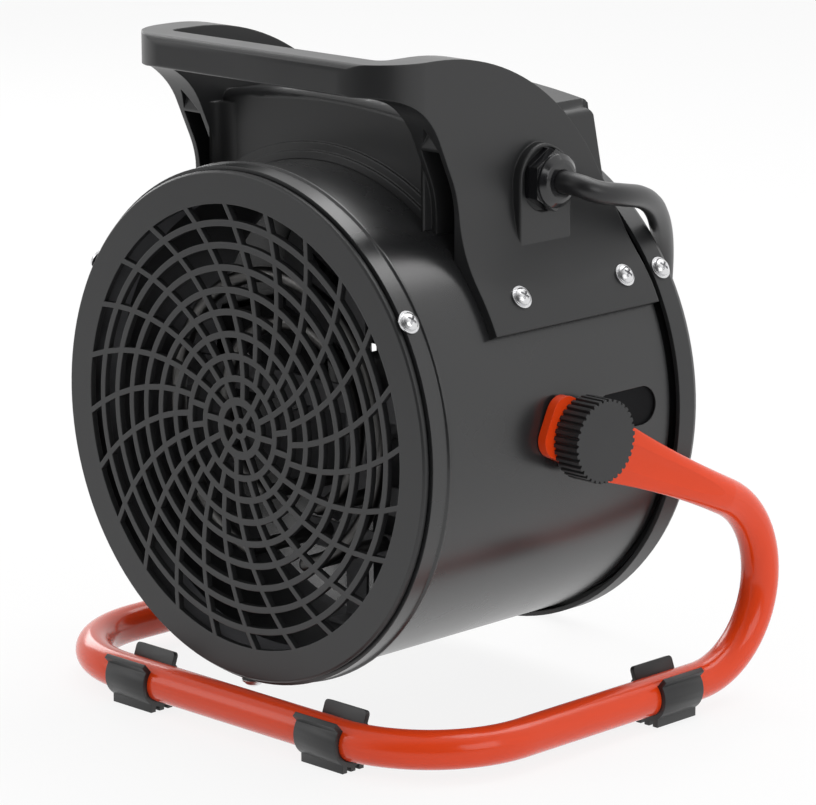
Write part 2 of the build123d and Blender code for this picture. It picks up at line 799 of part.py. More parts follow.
def stand_arm():
    """Right arm: flat clamped end, swelling into the round tube."""
    middle = (paddle_inner + paddle_outer) / 2
    inner_side = side_bar - tube_radius
    stations = [(paddle_flat, middle, paddle_thickness, paddle_width)]
    stations += [(arm_mid, inner_side - 0.5 + mid_thickness / 2, mid_thickness, mid_width)]
    stations += [(arm_late, inner_side + 0.5 + late_thickness / 2, late_thickness, late_width)]
    stations += [(arm_round, side_bar, 2 * tube_radius, 2 * tube_radius)]
    sections = [arm_plane(s, x) * Ellipse(thick / 2, wide / 2) for s, x, thick, wide in stations]
    swell = loft(sections)
    flat = Pos(0, (paddle_flat - paddle_end) / 2) * Rectangle(paddle_thickness, paddle_flat + paddle_end)
    sheet_plane = Plane(origin=(paddle_inner, 0, axis_height),
                        x_dir=(0, cos(arm_slope), -sin(arm_slope)), z_dir=(1, 0, 0))
    length = paddle_flat + paddle_end
    outline = Pos((paddle_flat - paddle_end) / 2, 0) * Rectangle(length, paddle_width)
    outline = fillet(outline.vertices().group_by(Axis.X)[0], paddle_width * 0.3)
    paddle = extrude(sheet_plane * outline, paddle_thickness)
    arm = swell + paddle
    bed = [arm_plane(s, x + thick / 2 + groove_lift) * Ellipse(groove_lift + groove_depth, wide * groove_share)
           for s, x, thick, wide in stations]
    end_x = side_bar + tube_radius + groove_depth + groove_lift
    bed.append(arm_plane(arm_round + 1, end_x) * Ellipse(groove_lift, tube_radius / 3))
    arm -= loft(bed[:-2] + bed[-1:])
    return arm - cross_rod(stud_radius + running_gap, pad_face - 1, knob_inner + 1)


def stand_tube():
    """One bent tube: two flattened arms, rear bends, side bars and the front bar."""
    path = stand_path()
    start = Plane(origin=path @ 0, x_dir=(1, 0, 0), z_dir=path % 0)
    tube = sweep(start * (Circle(tube_radius) - Circle(tube_radius - tube_wall)), path=path)
    for arm in both_sides(stand_arm()):
        tube += arm
    return tube


def clip():
    """Clip-on foot: open ring, two lips and ribs below, drawn along its own Z."""
    inner = tube_radius
    outer = inner + clip_wall
    ring = Circle(outer) - Circle(inner)
    reach = outer * 3
    mouth = [(0, 0)]
    for angle in (clip_open_outer, 90, clip_open_inner):
        mouth.append((reach * cos(radians(angle)), reach * sin(radians(angle))))
    ring -= make_face(Polyline(*mouth, close=True))
    for angle, length, flare in ((clip_open_outer, clip_lip, 50), (clip_open_inner, clip_tall_lip, 110)):
        root = Pos(inner * cos(radians(angle)), inner * sin(radians(angle))) * Rot(0, 0, flare)
        ring += root * Pos(length / 2, 0) * Rectangle(length + clip_wall, clip_wall)
    for index in (-1, 0, 1):
        x = index * clip_rib_pitch
        top = -sqrt(inner**2 - x**2) - clip_wall / 2
        rib = Pos(x, (top - tube_height) / 2) * Rectangle(clip_rib, top + tube_height)
        ring += rib
    ring -= Circle(inner)
    return extrude(ring, clip_length / 2, both=True)


def clips():
    """Four clipped feet, their taller lips towards the middle of the stand."""
    place = []
    for side in (1, -1):
        front = Plane(origin=(side * clip_front, front_bar, tube_height), x_dir=(0, -1, 0),
                      z_dir=(-1, 0, 0))
        flank = Plane(origin=(side * side_bar, clip_side, tube_height), x_dir=(side, 0, 0),
                      z_dir=(0, -side, 0))
        place += [front, flank]
    return [plane.location * clip() for plane in place]


# ---------------------------------------------------------------- clamps
def clamp_knob():
    """Right clamp knob: toothed rim with a flat, slightly sunk cap."""
    step = 2 * pi / knob_teeth
    corners = []
    for index in range(knob_teeth):
        for part, radius in ((0, knob_radius), (0.45, knob_radius), (0.6, knob_radius - knob_tooth),
                             (0.85, knob_radius - knob_tooth)):
            angle = (index + part) * step
            corners.append((radius * cos(angle), radius * sin(angle)))
    outline = make_face(Polyline(*corners, close=True))
    knob = extrude(plane_yz(knob_inner) * outline, knob_length)
    knob -= cross_rod(stud_radius, knob_inner - 1, knob_cap - knob_length / 3)
    return knob


def clamp_stud():
    """Right stud from the knob through the arm into the drum's boss."""
    return cross_rod(stud_radius, drum_radius - boss_depth, knob_cap - knob_length / 3)


def pivot_boss():
    """Right doubler plate under the drum's skin with the threaded boss."""
    plate = rod(barrel_bore, -doubler_front, doubler_rear)
    plate -= rod(barrel_bore - doubler, -doubler_front - 1, doubler_rear + 1)
    half = doubler_height / 2
    plate &= slab((0, drum_radius), (-doubler_front, doubler_rear), (-half, half))
    boss = cross_rod(boss_radius, drum_radius - boss_depth, pad_face)
    return plate + boss - cross_rod(stud_radius + running_gap, 0, drum_radius * 2)


# ---------------------------------------------------------------- heating and fan
def heat_shield():
    """Liner between the elements and the drum, flared to seat in the mouth."""
    inner = shield_radius - shield_wall
    flare = barrel_bore - shield_radius
    corners = [(inner, shield_front + flare), (inner, shield_rear), (shield_radius, shield_rear)]
    corners += [(shield_radius, shield_front + flare), (barrel_bore, shield_front + shield_wall)]
    corners += [(barrel_bore, shield_front)]
    return turned(corners)


def element(radius, face):
    """Tubular heating element: open ring with two legs running to the rear."""
    half = degrees(element_gap / 2 / radius)
    start = (radius * cos(radians(half - 90)), radius * sin(radians(half - 90)))
    end = (-start[0], start[1])
    plane = plane_xz(face)
    top = plane.from_local_coords((0, radius, 0))
    a = plane.from_local_coords((*start, 0))
    b = plane.from_local_coords((*end, 0))
    ring = ThreePointArc(a, top, b)
    back = Vector(0, element_legs_end - face, 0)
    loop = sweep(Plane(origin=a, z_dir=ring % 0) * Circle(element_radius), path=ring)
    for corner in (a, b):
        loop += Pos(corner) * Sphere(element_radius)
        leg = Plane(origin=corner, z_dir=(0, 1, 0)) * Circle(element_radius)
        loop += extrude(leg, back.Y)
    return loop


def heating_elements():
    """Outer and inner element loops."""
    return [element(radius, face) for radius, face in zip(element_rings, element_faces)]


def element_carrier():
    """Crossed strips behind the elements, with bushed holes for their legs."""
    reach = shield_radius - shield_wall
    rear = element_legs_end
    span = (rear - carrier_thickness, rear)
    strip = slab((-reach, reach), span, (-carrier_width / 2, carrier_width / 2))
    cross = strip + slab((-carrier_width / 2, carrier_width / 2), span, (-reach, reach))
    pads = slab((-element_gap, element_gap), span,
                (-element_rings[0] - carrier_width / 2, -element_rings[0] + carrier_width / 2))
    pads += slab((-element_gap, element_gap), span,
                 (-element_rings[1] - carrier_width / 2, -element_rings[1] + carrier_width / 2))
    carrier = (cross + pads) & rod(reach, rear - carrier_thickness, rear)
    for radius, face in zip(element_rings, element_faces):
        half = degrees(element_gap / 2 / radius)
        x = radius * cos(radians(half - 90))
        z = radius * sin(radians(half - 90))
        for side in (1, -1):
            carrier -= rod(element_radius, rear - carrier_thickness - 1, rear + 1, side * x, z)
    tab = slab((-carrier_width / 2, carrier_width / 2), (rear - bracket_foot, rear),
               (reach - carrier_thickness, reach))
    for index in range(4):
        carrier += tab.rotate(centre_line, 90 * index) & rod(reach, rear - bracket_foot, rear)
    return carrier


def blade():
    """One twisted fan blade, lofted from hub to tip, pointing along +X."""
    middle = (fan_front + fan_rear) / 2
    sections = []
    for radius, chord, pitch in ((fan_hub * 0.8, blade_root, root_pitch),
                                 (fan_radius * 0.6, (blade_root + blade_tip) * 0.5,
                                  (root_pitch + tip_pitch) * 0.48),
                                 (fan_radius, blade_tip, tip_pitch)):
        turn = radians(pitch)
        plane = Plane(origin=(radius, middle, axis_height), x_dir=(0, sin(turn), cos(turn)),
                      z_dir=(1, 0, 0))
        sections.append(plane * Rectangle(chord, blade_thickness))
    return loft(sections)


def fan_rotor():
    """Axial fan: domed hub with equally spaced twisted blades."""
    hub = rod(fan_hub, fan_front, fan_rear)
    hub = fillet(hub.edges().group_by(Axis.Y)[0], 4)
    one = blade()
    tip = rod(fan_radius, fan_front - blade_tip, fan_rear + blade_tip)
    for index in range(fan_blades):
        hub += one.rotate(centre_line, 360 / fan_blades * index) & tip
    return hub - rod(shaft_radius, fan_front + 3, fan_rear + 1)


def motor_shaft():
    """Shaft from the hub through the motor's two bearings."""
    return rod(shaft_radius, fan_front + 3, motor_rear + 2)


def motor_case():
    """Motor: stepped can with a bearing nose at each end and end band."""
    corners = [(shaft_radius + running_gap, motor_front - 4), (motor_nose, motor_front - 4)]
    corners += [(motor_nose, motor_front), (motor_radius - 2, motor_front)]
    corners += [(motor_radius, motor_front + 2), (motor_radius, motor_rear - 2)]
    corners += [(motor_radius - 2, motor_rear), (motor_nose, motor_rear)]
    corners += [(motor_nose, motor_rear + 4), (shaft_radius + running_gap, motor_rear + 4)]
    return turned(corners)


def motor_bracket():
    """Ring round the motor with arms whose feet bend on to the drum."""
    middle = (motor_front + motor_rear) / 2
    span = (middle - bracket_thickness / 2, middle + bracket_thickness / 2)
    ring = rod(motor_radius + 5, *span) - rod(motor_radius, span[0] - 1, span[1] + 1)
    arm = slab((motor_radius + 2, barrel_bore), span, (-bracket_width / 2, bracket_width / 2))
    foot = slab((barrel_bore - bracket_thickness * 2, barrel_bore), (span[0] - bracket_foot, span[1]),
                (-bracket_width / 2, bracket_width / 2))
    arm += foot - rod(barrel_bore - bracket_thickness, span[0] - bracket_foot - 1, span[0])
    arm &= rod(barrel_bore, span[0] - bracket_foot, span[1])
    for index in range(bracket_arms):
        ring += arm.rotate(centre_line, 90 + 360 / bracket_arms * index)
    return ring


def terminal_block():
    """Mains terminal block inside the control box, shaped to the drum below."""
    base = slab((-block_length / 2, block_length / 2), (0, block_depth),
                (drum_radius - block_base, block_top))
    step = block_length / block_poles
    for index in range(block_poles):
        x = -block_length / 2 + step * (index + 0.5)
        groove = slab((x - step * 0.3, x + step * 0.3), (block_depth * 0.3, block_depth * 0.7),
                      (block_top - block_groove, block_top + 1))
        base -= groove
    return base - rod(drum_radius, -1, block_depth + 1)


def thermal_cutout():
    """Disc cut-out fixed on the heat shield under the drum's top."""
    middle = (shield_front + shield_rear) / 2
    depth = barrel_bore - shield_radius
    disc = radial_plane(90, middle, shield_radius - 1).location
    cut = disc * Pos(0, 0, depth / 2) * Cylinder(cutout_radius, depth)
    reach = 2 * cutout_radius
    return cut - rod(shield_radius, middle - reach, middle + reach)


# ---------------------------------------------------------------- cord
def fillet_radii(points):
    """Arc radii for a cord's corners, as large as the runs beside them allow."""
    radii = []
    for before, here, after in zip(points, points[1:], points[2:]):
        one = Vector(here) - Vector(before)
        two = Vector(after) - Vector(here)
        half = radians(one.get_angle(two)) / 2
        radii.append(arc_share * min(one.length, two.length) / tan(half))
    return radii


def cord_tube(name, points):
    """Round cord along straight runs joined by tangent arcs."""
    radii = fillet_radii(points)
    path = FilletPolyline(*points, radius=radii)
    start = Plane(origin=path @ 0, z_dir=path % 0)
    tube = sweep(start * Circle(cord_diameter / 2), path=path)
    length = path.length
    expected = pi * cord_diameter**2 / 4 * length
    print(name, "radii", [round(radius, 1) for radius in radii])
    print(name, "length", round(length, 1), "volume ratio", round(tube.volume / expected, 5))
    return tube, length


def coil_nodes():
    """Half-turn corners of the coil: in on the floor, one climb, out on top."""
    heading = radians(coil_heading)
    across = Vector(-sin(heading), cos(heading), 0)
    low = cord_diameter / 2
    centre = Vector(*coil_centre, low)
    points = [centre - across * coil_radius]
    side = 1
    for index in range(coil_half_turns):
        points.append(points[-1] + across * side * (2 * coil_radius - coil_pitch * index))
        side = -side
    inner = 2 * coil_radius - coil_pitch * coil_half_turns
    points.append(points[-1] + across * side * inner + Vector(0, 0, coil_pitch))
    side = -side
    for index in reversed(range(coil_half_turns)):
        points.append(points[-1] + across * side * (2 * coil_radius - coil_pitch * index))
        side = -side
    return points, across


def coil_path():
    """Unbroken centre line of the coil, with straight ends."""
    points, across = coil_nodes()
    heading = radians(coil_heading)
    ahead = Vector(cos(heading), sin(heading), 0)
    pieces = [Line(points[0] - ahead * cord_diameter, points[0])]
    way = 1
    for index, (here, there) in enumerate(zip(points, points[1:])):
        middle = (here + there) * 0.5
        radius = (Vector(there.X, there.Y, 0) - Vector(here.X, here.Y, 0)).length / 2
        crest = middle + ahead * way * radius
        if index == coil_half_turns:
            pieces.append(TangentArc([here, crest], tangent=ahead * way))
            last = TangentArc([there, crest], tangent=ahead * way)
            pieces.append(last)
        else:
            pieces.append(ThreePointArc(here, crest, there))
        way = -way
    pieces.append(Line(points[-1], points[-1] + ahead * way * cord_diameter))
    return Wire([piece.edge() for piece in pieces]), points[-1] + ahead * way * cord_diameter, ahead * way


def least_gap(path, diameter):
    """Smallest space between turns of a tube, measured on points of its line."""
    count = int(path.length / 3)
    spots = [tuple(path @ (index / count)) for index in range(count + 1)]
    skip = int(3 * diameter / (path.length / count))
    least = min(dist(one, two) for index, one in enumerate(spots) for two in spots[index + skip:])
    return least - diameter


def cord_coil():
    """Put-away length of the cord as two flat layers of loops."""
    path, end, way = coil_path()
    start = Plane(origin=path @ 0, z_dir=path % 0)
    tube = sweep(start * Circle(cord_diameter / 2), path=path)
    expected = pi * cord_diameter**2 / 4 * path.length
    print("coil length", round(path.length, 1), "volume ratio", round(tube.volume / expected, 5))
    print("coil least gap", round(least_gap(path, cord_diameter), 2))
    return tube, path, end, way


def plug_shape(place, way):
    """Plug lying on its side: round body, tapered boot, two pins."""
    profile = [(0, 0), (plug_tip, 0), (plug_tip + 2, plug_boot), (plug_radius - 4, plug_boot + 5)]
    profile += [(plug_radius, plug_boot + 12), (plug_radius, plug_boot + plug_body)]
    profile += [(0, plug_boot + plug_body)]
    body = revolve(make_face(Plane.XZ * Polyline(*profile, close=True)), Axis.Z)
    plane = Plane(origin=place, x_dir=(0, 0, 1), z_dir=way)
    pins = []
    for side in (-1, 1):
        middle = Pos(0, side * pin_spacing / 2, plug_boot + plug_body + pin_length / 2)
        pin = middle * Cylinder(pin_radius, pin_length)
        pins.append(plane.location * pin)
    return plane.location * body, pins


# ---------------------------------------------------------------- assembly
nodes = {
    "barrel": barrel(),
    "front_collar": front_collar(),
    "front_grille": front_grille(),
    "rear_ring": rear_ring(),
    "inlet_cover": inlet_cover(),
    "control_panel": control_panel(),
    "handle_housing": handle_housing(),
    "collar_screws": collar_screws(),
    "ring_screws": ring_screws(),
    "flange_screws": flange_screw_set(),
    "gland_body": gland_body(),
    "gland_nut": gland_nut(),
    "gland_locknut": gland_locknut(),
    "stand_tube": stand_tube(),
    "stand_clips": clips(),
    "heat_shield": heat_shield(),
    "element_carrier": element_carrier(),
    "heating_elements": heating_elements(),
    "thermal_cutout": thermal_cutout(),
    "terminal_block": terminal_block(),
    "motor_case": motor_case(),
    "motor_shaft": motor_shaft(),
    "motor_bracket": motor_bracket(),
    "fan_rotor": fan_rotor(),
    "power_dial": dial(-dial_spacing / 2),
    "thermostat_dial": dial(dial_spacing / 2),
    "power_switch": switch_body(-dial_spacing / 2),
    "thermostat_body": switch_body(dial_spacing / 2),
}
for name, right in (("clamp_knob", clamp_knob()), ("clamp_stud", clamp_stud()),
                    ("pivot_boss", pivot_boss())):
    for side, piece in zip(("right", "left"), both_sides(right)):
        nodes[f"{side}_{name}"] = piece

coil, coil_line, coil_end, coil_way = cord_coil()
heading = radians(coil_heading)
inward = Vector(cos(heading), sin(heading), 0)
coil_start = coil_line @ 0
gland_start = (gland_mouth - cord_seat, gland_y, gland_height)
cord_points = [gland_start, *cord_route, tuple(coil_start - inward * coil_approach), tuple(coil_start)]
cord, cord_length = cord_tube("cord", cord_points)
lead_way = coil_way.rotate(Axis.Z, lead_bend)
plug_way = coil_way.rotate(Axis.Z, lead_bend + plug_bend)
first, second, third = lead_runs
lead_mid = coil_end + coil_way * first
lead_late = lead_mid + lead_way * second
lead_late = Vector(lead_late.X, lead_late.Y, plug_radius)
plug_place = lead_late + plug_way * third
lead_points = [tuple(point) for point in (coil_end, lead_mid, lead_late, plug_place)]
lead, lead_length = cord_tube("lead", lead_points)
plug, pins = plug_shape(plug_place, plug_way)
nodes.update({"power_cord": cord, "cord_coil": coil, "plug_lead": lead, "plug": plug, "plug_pins": pins})
print("cord from gland to plug", round(cord_length + coil_line.length + lead_length, 1))

# The origin is midway between the front of the front bar's clips and the rear bend.
stand_boxes = [piece.bounding_box() for piece in (nodes["stand_tube"], *nodes["stand_clips"])]
foremost = min(box.min.Y for box in stand_boxes)
rearmost = max(box.max.Y for box in stand_boxes)
shift = -(foremost + rearmost) / 2
print("moved along Y by", round(shift, 6))

os.makedirs("parts", exist_ok=True)
for name, piece in nodes.items():
    solids = piece if isinstance(piece, list) else [piece]
    moved = [Pos(0, shift, 0) * solid for solid in solids]
    export_step(moved[0] if len(moved) == 1 else Compound(children=moved), f"parts/{name}.step")
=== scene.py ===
import json
from math import cos, pi, radians, sin

import bmesh
import bpy
from mathutils import Matrix, Vector
from mathutils.kdtree import KDTree


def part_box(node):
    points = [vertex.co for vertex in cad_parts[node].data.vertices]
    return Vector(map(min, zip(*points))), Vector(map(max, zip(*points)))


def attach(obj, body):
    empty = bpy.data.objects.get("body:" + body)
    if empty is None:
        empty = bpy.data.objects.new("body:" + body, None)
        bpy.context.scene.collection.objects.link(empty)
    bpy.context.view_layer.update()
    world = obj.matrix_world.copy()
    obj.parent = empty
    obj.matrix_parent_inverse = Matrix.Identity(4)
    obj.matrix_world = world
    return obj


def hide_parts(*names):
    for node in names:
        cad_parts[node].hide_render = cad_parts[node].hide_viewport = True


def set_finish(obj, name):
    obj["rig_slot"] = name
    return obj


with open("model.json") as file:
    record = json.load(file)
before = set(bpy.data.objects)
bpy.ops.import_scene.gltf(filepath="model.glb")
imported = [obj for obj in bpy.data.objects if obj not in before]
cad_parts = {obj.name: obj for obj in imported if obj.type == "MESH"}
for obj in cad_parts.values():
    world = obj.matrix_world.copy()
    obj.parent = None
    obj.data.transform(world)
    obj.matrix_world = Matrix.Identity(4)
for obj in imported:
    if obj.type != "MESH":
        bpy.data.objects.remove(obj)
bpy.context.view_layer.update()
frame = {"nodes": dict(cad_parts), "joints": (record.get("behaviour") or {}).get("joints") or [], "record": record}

# Looks of a forced air heater on a tilting tube stand. Metres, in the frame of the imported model:
# +Z up, outlet towards -Y, controls towards +Y.
NODES = frame["nodes"]
COLLECTION = bpy.context.scene.collection
PIVOT = Vector(next(joint["pos_m"] for joint in frame["joints"] if joint["name"] == "stand_tilt"))

# ---------------------------------------------------------------- camera
CAMERA_AZIMUTH = 44.19
CAMERA_ELEVATION = 12.99
CAMERA_DISTANCE = 1.7235
CAMERA_TARGET = (0.0, 0.04305, 0.0)
SENSOR = 36.0
LENS = 178.26
SHIFT_X = -0.0684
SHIFT_Y = -0.0314
CLIP_NEAR = 0.05
CLIP_FAR = 50


def add_camera():
    """Camera at the photograph's angle, aimed at a point on the drum's axis."""
    azimuth = radians(CAMERA_AZIMUTH)
    elevation = radians(CAMERA_ELEVATION)
    way = Vector((sin(azimuth) * cos(elevation), -cos(azimuth) * cos(elevation), sin(elevation)))
    data = bpy.data.cameras.new("camera")
    data.sensor_fit = "HORIZONTAL"
    data.sensor_width = SENSOR
    data.lens = LENS
    data.shift_x = SHIFT_X
    data.shift_y = SHIFT_Y
    data.clip_start = CLIP_NEAR
    data.clip_end = CLIP_FAR
    camera = bpy.data.objects.new("camera", data)
    COLLECTION.objects.link(camera)
    target = PIVOT + Vector(CAMERA_TARGET)
    camera.location = target + way * CAMERA_DISTANCE
    camera.rotation_euler = (-way).to_track_quat("-Z", "Y").to_euler()
    bpy.context.scene.camera = camera


add_camera()

# ---------------------------------------------------------------- cord
# The route's points are those of part.py, from the pivot line's y; the coil's come from its half turns.
CORD_DIAMETER = 0.0094
CORD_MOUTH = (0.0876, 0.007, 0.227)
LAID = CORD_DIAMETER / 2
CORD_ROUTE = [
    (0.0975, 0.007, 0.227),
    (0.1035, 0.0125, 0.2235),
    (0.1045, 0.026, 0.221),
    (0.099, 0.046, 0.217),
    (0.088, 0.067, 0.207),
    (0.074, 0.087, 0.188),
    (0.058, 0.103, 0.156),
    (0.042, 0.113, 0.112),
    (0.025, 0.119, 0.064),
    (0.0067, 0.122, 0.0294),
    (-0.0125, 0.1225, 0.0133),
    (-0.036, 0.123, LAID),
    (-0.061, 0.1297, LAID),
    (-0.0795, 0.1451, LAID),
]
COIL_CENTRE = (-0.1348, 0.1974)
COIL_RADIUS = 0.046
COIL_GAP = 0.0008
COIL_PITCH = CORD_DIAMETER + COIL_GAP
COIL_HALF_TURNS = 4
COIL_HEADING = radians(90)
COIL_APPROACH = 0.023
COIL_STEPS = 6
LEAD_RUNS = (0.015, 0.016, 0.015)
LEAD_BEND = radians(-5)
PLUG_BEND = radians(-8)
PLUG_RADIUS = 0.018
CURVE_STEPS = 8
RING_STEPS = 6


def coil_corners():
    """Ends of the coil's half turns: in on the floor, one climb, out on top."""
    across = Vector((-sin(COIL_HEADING), cos(COIL_HEADING), 0))
    centre = Vector((*COIL_CENTRE, CORD_DIAMETER / 2))
    corners = [centre - across * COIL_RADIUS]
    side = 1
    for index in range(COIL_HALF_TURNS):
        corners.append(corners[-1] + across * side * (2 * COIL_RADIUS - COIL_PITCH * index))
        side = -side
    inner = 2 * COIL_RADIUS - COIL_PITCH * COIL_HALF_TURNS
    corners.append(corners[-1] + across * side * inner + Vector((0, 0, COIL_PITCH)))
    side = -side
    for index in reversed(range(COIL_HALF_TURNS)):
        corners.append(corners[-1] + across * side * (2 * COIL_RADIUS - COIL_PITCH * index))
        side = -side
    return corners


def cord_points():
    """Control points of the whole cord, from the gland through the coil to the plug."""
    ahead = Vector((cos(COIL_HEADING), sin(COIL_HEADING), 0))
    corners = coil_corners()
    entry = corners[0] - ahead * CORD_DIAMETER
    points = [Vector(CORD_MOUTH)] + [Vector(place) for place in CORD_ROUTE]
    points += [entry - ahead * COIL_APPROACH, entry]
    way = 1
    swing = cos(pi / 2 / COIL_STEPS)
    for here, there in zip(corners, corners[1:]):
        middle = (here + there) / 2
        arm = here - middle
        arm.z = 0
        for step in range(COIL_STEPS):
            turn = (step + 0.5) / COIL_STEPS
            lift = here.z + (there.z - here.z) * turn
            spot = middle + (arm * cos(pi * turn) + ahead * way * arm.length * sin(pi * turn)) / swing
            points.append(Vector((spot.x, spot.y, lift)))
        way = -way
    way_out = ahead * way
    end = corners[-1] + way_out * CORD_DIAMETER
    points.append(end)
    first, second, third = LEAD_RUNS
    middle = end + way_out * first
    late = middle + Matrix.Rotation(LEAD_BEND, 3, "Z") @ way_out * second
    late.z = PLUG_RADIUS
    plug = late + Matrix.Rotation(PLUG_BEND, 3, "Z") @ way_out * third
    return points + [middle, late, plug]


def spline_curve(name, points, radius):
    """Smooth tube along a NURBS line with these control points."""
    data = bpy.data.curves.new(name, "CURVE")
    data.dimensions = "3D"
    spline = data.splines.new("NURBS")
    spline.points.add(len(points) - 1)
    for target, place in zip(spline.points, points):
        target.co = (*place, 1)
        target.radius = radius
    spline.order_u = 3
    spline.use_endpoint_u = True
    spline.resolution_u = CURVE_STEPS
    data.bevel_depth = 1
    data.bevel_resolution = RING_STEPS
    data.use_fill_caps = True
    piece = bpy.data.objects.new(name, data)
    COLLECTION.objects.link(piece)
    return piece


shift = Vector((0, PIVOT.y, 0))
route = [place + shift for place in cord_points()]
supply_cord = spline_curve("supply_cord", route, CORD_DIAMETER / 2)
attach(supply_cord, "heater")
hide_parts("power_cord", "cord_coil", "plug_lead")
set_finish(supply_cord, "cord_rubber")


# ---------------------------------------------------------------- mesh helpers
WELD = 1e-6
SOFT_ANGLE = radians(35)


def copied(name):
    """A CAD node's mesh as a bmesh, its shared points welded."""
    bm = bmesh.new()
    bm.from_mesh(NODES[name].data)
    bmesh.ops.remove_doubles(bm, verts=bm.verts[:], dist=WELD)
    return bm


def add_mesh(name, bm, body, slot, smooth=True):
    """Turns a bmesh into a piece that rides on a body."""
    bmesh.ops.recalc_face_normals(bm, faces=bm.faces[:])
    data = bpy.data.meshes.new(name)
    bm.to_mesh(data)
    bm.free()
    for face in data.polygons:
        face.use_smooth = smooth
    piece = bpy.data.objects.new(name, data)
    COLLECTION.objects.link(piece)
    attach(piece, body)
    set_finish(piece, slot)
    return piece


def soften(piece, width, segments=2):
    """Rounded edges on a mesh piece."""
    edge = piece.modifiers.new("edge", "BEVEL")
    edge.width = width
    edge.segments = segments
    edge.limit_method = "ANGLE"
    edge.angle_limit = SOFT_ANGLE
    return piece


def add_block(bm, size, matrix):
    """Box of this size placed by a matrix."""
    scale = Matrix.Diagonal((*size, 1))
    bmesh.ops.create_cube(bm, size=1, matrix=matrix @ scale)


# ---------------------------------------------------------------- handle with rounded grip ends
# Lengths in y and z are from the pivot line. NEAR is how far a point may be from a round end.
GRIP_HALF = 0.077
GRIP_FRONT = -0.082
GRIP_UNDERSIDE = 0.141
GRIP_CORNER = 0.025
GRIP_STEPS = 16
GRIP_LOWER = 0.0034
GRIP_EASE = 0.011
THROAT_Y = -0.039
CREST_SLOPE = 0.6
PLATE_INNER = 0.0618
BEYOND = 0.005
NEAR = 0.0003
SAME_POINT = 0.00003
SAME_WAY = 0.995
UPRIGHT = 0.5


def corner_cutter(side):
    """Prism that takes the square corner off the grip and leaves a round one."""
    centre = Vector((GRIP_HALF - GRIP_CORNER, GRIP_FRONT + GRIP_CORNER))
    plan = [(centre.x, GRIP_FRONT - BEYOND), (GRIP_HALF + BEYOND, GRIP_FRONT - BEYOND),
            (GRIP_HALF + BEYOND, centre.y)]
    for step in range(GRIP_STEPS + 1):
        angle = pi / 2 * step / GRIP_STEPS
        plan.append((centre.x + GRIP_CORNER * cos(angle), centre.y - GRIP_CORNER * sin(angle)))
    bm = bmesh.new()
    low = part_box("handle_housing")[0].z
    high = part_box("handle_housing")[1].z + BEYOND
    face = bm.faces.new([bm.verts.new((side * x, y + PIVOT.y, low)) for x, y in plan])
    grown = bmesh.ops.extrude_face_region(bm, geom=[face])["geom"]
    top = [item for item in grown if isinstance(item, bmesh.types.BMVert)]
    bmesh.ops.translate(bm, vec=(0, 0, high - low), verts=top)
    bmesh.ops.recalc_face_normals(bm, faces=bm.faces[:])
    data = bpy.data.meshes.new("corner_cutter")
    bm.to_mesh(data)
    bm.free()
    cutter = bpy.data.objects.new("corner_cutter", data)
    COLLECTION.objects.link(cutter)
    return cutter


def crest_share(spot):
    """How far a point of the handle follows its lowered crest, from 0 to 1."""
    y = spot.y - PIVOT.y
    start = GRIP_UNDERSIDE - CREST_SLOPE * max(y - THROAT_Y, 0)
    share = min(max((spot.z - PIVOT.z - start) / GRIP_EASE, 0), 1)
    on_box = abs(spot.x) < PLATE_INNER and y > THROAT_Y
    return 0 if on_box else share * share * (3 - 2 * share)


def settled(piece):
    """Puts what a piece's modifiers make into its mesh."""
    shown = piece.evaluated_get(bpy.context.evaluated_depsgraph_get())
    data = bpy.data.meshes.new_from_object(shown)
    piece.modifiers.clear()
    piece.data = data
    return data


def end_normal(spot):
    """Outward direction on a round end of the grip, or None elsewhere."""
    side = 1 if spot.x > 0 else -1
    sideways = side * (abs(spot.x) - GRIP_HALF + GRIP_CORNER)
    forwards = spot.y - PIVOT.y - GRIP_FRONT - GRIP_CORNER
    outward = Vector((sideways, forwards, 0))
    if outward.x * side > 0 > outward.y and outward.length > GRIP_CORNER - NEAR:
        return outward.normalized()
    return None


def keep_normals(data, source):
    """Gives a cut copy of a CAD mesh the CAD mesh's own smooth normals."""
    corners = [(loop, face.normal) for face in source.polygons for loop in face.loop_indices]
    tree = KDTree(len(corners))
    for index, (loop, _) in enumerate(corners):
        tree.insert(source.vertices[source.loops[loop].vertex_index].co, index)
    tree.balance()
    normals = []
    for face in data.polygons:
        for index in face.loop_indices:
            spot = data.vertices[data.loops[index].vertex_index].co
            found = [corners[hit[1]] for hit in tree.find_range(spot, SAME_POINT)]
            best = max(found, key=lambda corner: corner[1].dot(face.normal), default=None)
            round_way = end_normal(spot)
            if best and best[1].dot(face.normal) > SAME_WAY:
                normals.append(source.corner_normals[best[0]].vector.copy())
            elif round_way and abs(face.normal.z) < UPRIGHT:
                normals.append(round_way)
            else:
                normals.append(face.normal.copy())
    data.normals_split_custom_set(normals)


def handle_shell():
    """Handle housing with round grip ends and a slightly lower crest."""
    shell = add_mesh("handle_shell", copied("handle_housing"), "heater", "housing_black")
    cutters = [corner_cutter(side) for side in (1, -1)]
    for cutter in cutters:
        cut = shell.modifiers.new("corner", "BOOLEAN")
        cut.operation = "DIFFERENCE"
        cut.solver = "EXACT"
        cut.object = cutter
    data = settled(shell)
    for cutter in cutters:
        bpy.data.objects.remove(cutter)
    keep_normals(data, NODES["handle_housing"].data)
    for vert in data.vertices:
        vert.co.z -= GRIP_LOWER * crest_share(vert.co)
    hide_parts("handle_housing")
    return shell


handle = handle_shell()


